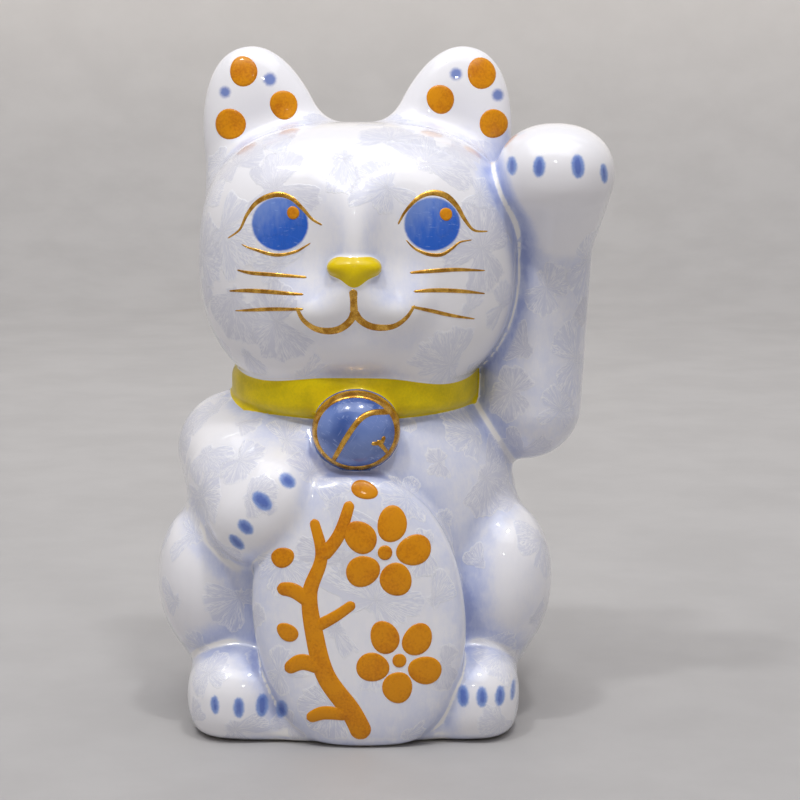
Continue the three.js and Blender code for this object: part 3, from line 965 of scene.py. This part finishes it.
WHISKERS = {
    "right": [
        with_width([(-30.9, -2.0), (-27.0, -2.6), (-20.0, -2.9), (-12.6, -3.4)], (0.2, 0.62, 0.3)),
        with_width([(-33.1, -7.6), (-28.0, -7.2), (-21.0, -7.3), (-13.4, -7.6)], (0.2, 0.7, 0.3)),
        with_width([(-31.6, -12.7), (-26.0, -12.1), (-20.0, -11.6), (-13.4, -11.2)],
                   (0.15, 0.62, 0.3)),
    ],
    "left": [
        with_width([(13.6, -2.3), (19.0, -1.9), (26.0, -1.7), (33.2, -2.3)], (0.3, 0.66, 0.18)),
        with_width([(14.6, -6.9), (20.0, -6.8), (27.0, -7.3), (33.2, -8.3)], (0.3, 0.7, 0.18)),
        with_width([(14.0, -10.6), (19.0, -12.0), (24.0, -13.4), (30.6, -14.8)], (0.3, 0.62, 0.18)),
    ],
}
MOUTH = [
    with_width([(-0.7, -5.9), (-0.6, -8.7), (-0.5, -12.2)], (1.25, 0.95, 1.1)),
    with_width([(-0.4, -11.4), (-1.4, -14.0), (-4.0, -16.2), (-7.2, -16.9), (-10.7, -16.2),
                (-13.6, -13.9), (-15.2, -10.8)], (1.0, 0.95, 0.45)),
    with_width([(-0.5, -11.4), (0.8, -13.7), (3.2, -15.4), (6.4, -16.0), (9.9, -15.5),
                (12.9, -13.3), (14.9, -10.3)], (1.0, 0.9, 0.35)),
]
for side in SIDES:
    for name, lines in (("_eye_gold_lines", EYE_LINES), ("_whiskers_gold", WHISKERS)):
        piece = gathered(side + name, strokes("head_casting", lines[side], GOLD_HEIGHT))
        finished(piece, GOLD, "gold_lustre")
mouth = gathered("mouth_gold_line", strokes("head_casting", MOUTH, GOLD_HEIGHT))
finished(mouth, GOLD, "gold_lustre")
sparks = [patch("head_casting", ellipse(at, (1.65, 1.65), seed=i, wobble=0.03), 0.25)
          for i, at in enumerate([(-16.1, 12.9), (22.9, 12.5)])]
finished(gathered("eye_spark_dots", sparks), OCHRE, "ochre_enamel")

EAR_SPOTS = {
    "right": [((-30.9, 48.3), 3.85), ((-20.1, 39.4), 3.75), ((-34.5, 34.3), 4.1)],
    "left": [((33.1, 47.8), 4.0), ((22.0, 40.9), 3.75), ((36.4, 34.4), 3.85)],
}
for side, spots in EAR_SPOTS.items():
    rings = [ellipse(at, (size, size * 1.04), seed=i, wobble=0.03)
             for i, (at, size) in enumerate(spots)]
    dots = [patch("head_casting", ring, OCHRE_HEIGHT) for ring in rings]
    finished(gathered(side + "_ear_ochre_spots", dots), OCHRE, "ochre_enamel")

bell_rim = [(10.7 * cos(a), 9.6 * sin(a) + 0.2, 0.72) for a in np.linspace(0, tau, 33)]
bell_gold = strokes("bell", [bell_rim], 0.3, closed=True)
bell_gold += strokes("bell", [
    with_width([(-6.0, -7.6), (-4.6, -4.6), (-2.4, -0.6), (0.6, 3.6), (4.0, 5.6), (9.6, 5.4)],
               (0.6, 0.75, 0.7)),
    with_width([(5.6, -1.4), (7.0, -3.4), (9.0, -6.6)], (0.9, 0.55, 0.5)),
    with_width([(4.0, -2.2), (6.0, -2.2)], (0.5, 0.7, 0.6)),
    with_width([(7.4, -0.4), (6.6, -2.4)], (0.5, 0.7, 0.6)),
], 0.25)
finished(gathered("bell_gold_lines", bell_gold), GOLD, "gold_lustre")


def blossom(centre, size, turned):
    """Five rounded petals round a small heart."""
    shapes = [ellipse(centre, (size * 0.16, size * 0.16), seed=1)]
    for i in range(5):
        angle = radians(turned + i * 72)
        reach = size * 0.62
        at = (centre[0] + reach * sin(angle), centre[1] + reach * cos(angle))
        shapes.append(ellipse(at, (size * 0.33, size * 0.38), turned + i * 72, seed=i, wobble=0.04))
    return [patch("oval_tablet", shape, OCHRE_HEIGHT) for shape in shapes]


# A plum branch in blossom, leaning as the tablet's brushwork does.
BRANCH = [
    with_width([(1.5, -34.5), (-2.0, -27.0), (-8.5, -17.5), (-11.5, -6.0), (-12.5, 4.0),
                (-9.5, 13.5), (-11.5, 23.0)], (2.9, 2.4, 1.3)),
    with_width([(-12.0, 1.0), (-16.5, 4.5), (-21.0, 5.0)], (1.6, 2.0, 1.6)),
    with_width([(-9.5, 13.0), (-5.0, 19.0), (-2.0, 27.5)], (1.8, 1.7, 1.4)),
    with_width([(-9.0, -16.0), (-14.5, -14.0), (-19.0, -16.5)], (1.6, 2.2, 1.5)),
    with_width([(-11.5, -5.0), (-6.0, -2.0), (-1.0, 1.5)], (1.7, 1.5, 1.3)),
    with_width([(-2.5, -28.0), (-9.0, -27.5), (-13.5, -29.5)], (1.6, 1.9, 1.4)),
]
BUDS = [((-19.5, 13.0), (3.2, 2.5), -30), ((-18.3, -6.3), (3.0, 2.3), 20),
        ((1.5, 30.2), (3.4, 2.3), 15)]
ornament = strokes("oval_tablet", BRANCH, OCHRE_HEIGHT)
ornament += blossom((6.8, 14.5), 12.0, 14)
ornament += blossom((10.5, -13.5), 11.5, 40)
ornament += [patch("oval_tablet", ellipse(at, half, tilt, wobble=0.05, seed=i), OCHRE_HEIGHT)
             for i, (at, half, tilt) in enumerate(BUDS)]
finished(gathered("tablet_ochre_blossoms", ornament), OCHRE, "ochre_enamel")


# ---- floor, light and camera -------------------------------------------------------------------

def aimed(thing, place, target):
    thing.location = Vector(place)
    thing.rotation_mode = "QUATERNION"
    thing.rotation_quaternion = (Vector(target) - Vector(place)).to_track_quat("-Z", "Y")
    bpy.context.scene.collection.objects.link(thing)


def area_light(name, place, target, size, watts, colour=(1, 1, 1)):
    data = bpy.data.lights.new(name, "AREA")
    data.shape = "RECTANGLE"
    data.size, data.size_y = size
    data.energy = watts
    data.color = colour
    aimed(bpy.data.objects.new(name, data), place, target)


def studio_bowl():
    """A plain pale floor that curves up into a wall all round, so no view has an edge in it."""
    flat, rise, top = 0.9, 0.6, 1.9
    profile = [(0.0, 0.0), (flat * 0.4, 0.0), (flat, 0.0)]
    profile += [(flat + rise * sin(a), rise * (1 - cos(a))) for a in np.linspace(0.1, pi / 2, 12)]
    profile.append((flat + rise, top))
    sides = 96
    verts = [(r * cos(a), r * sin(a), z) for r, z in profile[1:]
             for a in np.linspace(0, tau, sides, endpoint=False)]
    verts.append((0.0, 0.0, 0.0))
    faces = [(i, (i + 1) % sides, len(verts) - 1) for i in range(sides)]
    for ring in range(len(profile) - 2):
        a, b = ring * sides, (ring + 1) * sides
        faces += [(a + (i + 1) % sides, a + i, b + i, b + (i + 1) % sides) for i in range(sides)]
    mesh = bpy.data.meshes.new("studio_floor")
    mesh.from_pydata(verts, [], faces)
    mesh.polygons.foreach_set("use_smooth", np.ones(len(faces), bool))
    ground = bpy.data.objects.new("studio_floor", mesh)
    bpy.context.scene.collection.objects.link(ground)
    p = Paint("pale_floor", Roughness=0.55)
    height = p.make("SeparateXYZ", {0: p.place}).outputs[2]
    ground_tone = p.mix(p.ramp(p.noise(p.place, 0.02, 5.0, 0.6), 0.3, 0.7),
                        rgb(174, 172, 171), rgb(181, 179, 178))
    p.set("Base Color", p.mix(p.ramp(height, 0.0, 500.0), ground_tone, rgb(236, 230, 223)))
    mesh.materials.append(p.material)


studio_bowl()
middle = (Vector(CAD_BOUNDS[0]) + Vector(CAD_BOUNDS[1])) / 2
area_light("ceiling_panel", (-0.05, -0.25, 1.15), middle, (1.4, 1.0), 6.5, (0.98, 0.985, 1.0))
area_light("window_left", (-0.28, -0.38, 0.95), middle, (0.09, 0.06), 2.0, (0.98, 0.99, 1.0))
area_light("window_right", (0.16, -0.36, 1.0), middle, (0.09, 0.06), 2.0)
area_light("spark_low", (0.02, -0.8, 0.6), middle, (0.05, 0.04), 0.3)
area_light("backdrop_wash", (0, 0.35, 1.0), (0, 1.5, 0.4), (1.2, 0.3), 7.0)

world = bpy.data.worlds.new("studio")
world.use_nodes = True
world.node_tree.nodes["Background"].inputs["Color"].default_value = rgb(214, 220, 236)
world.node_tree.nodes["Background"].inputs["Strength"].default_value = 0.36
bpy.context.scene.world = world
bpy.context.scene.view_settings.view_transform = "Standard"

# The camera looks slightly down from straight in front, a little to the raised paw's side.
VIEW_DOWN = radians(9)
VIEW_DISTANCE = 0.6
SENSOR_WIDTH = 36
LENS = 97.785
camera_data = bpy.data.cameras.new("camera")
camera_data.sensor_width = SENSOR_WIDTH
camera_data.lens = LENS
camera_data.dof.use_dof = False
camera = bpy.data.objects.new("camera", camera_data)
target = Vector(spot("torso_casting", 12.15, 3.2, 37.05) * MM)
aimed(camera, target + VIEW_DISTANCE * Vector((0, -cos(VIEW_DOWN), sin(VIEW_DOWN))), target)
bpy.context.scene.camera = camera
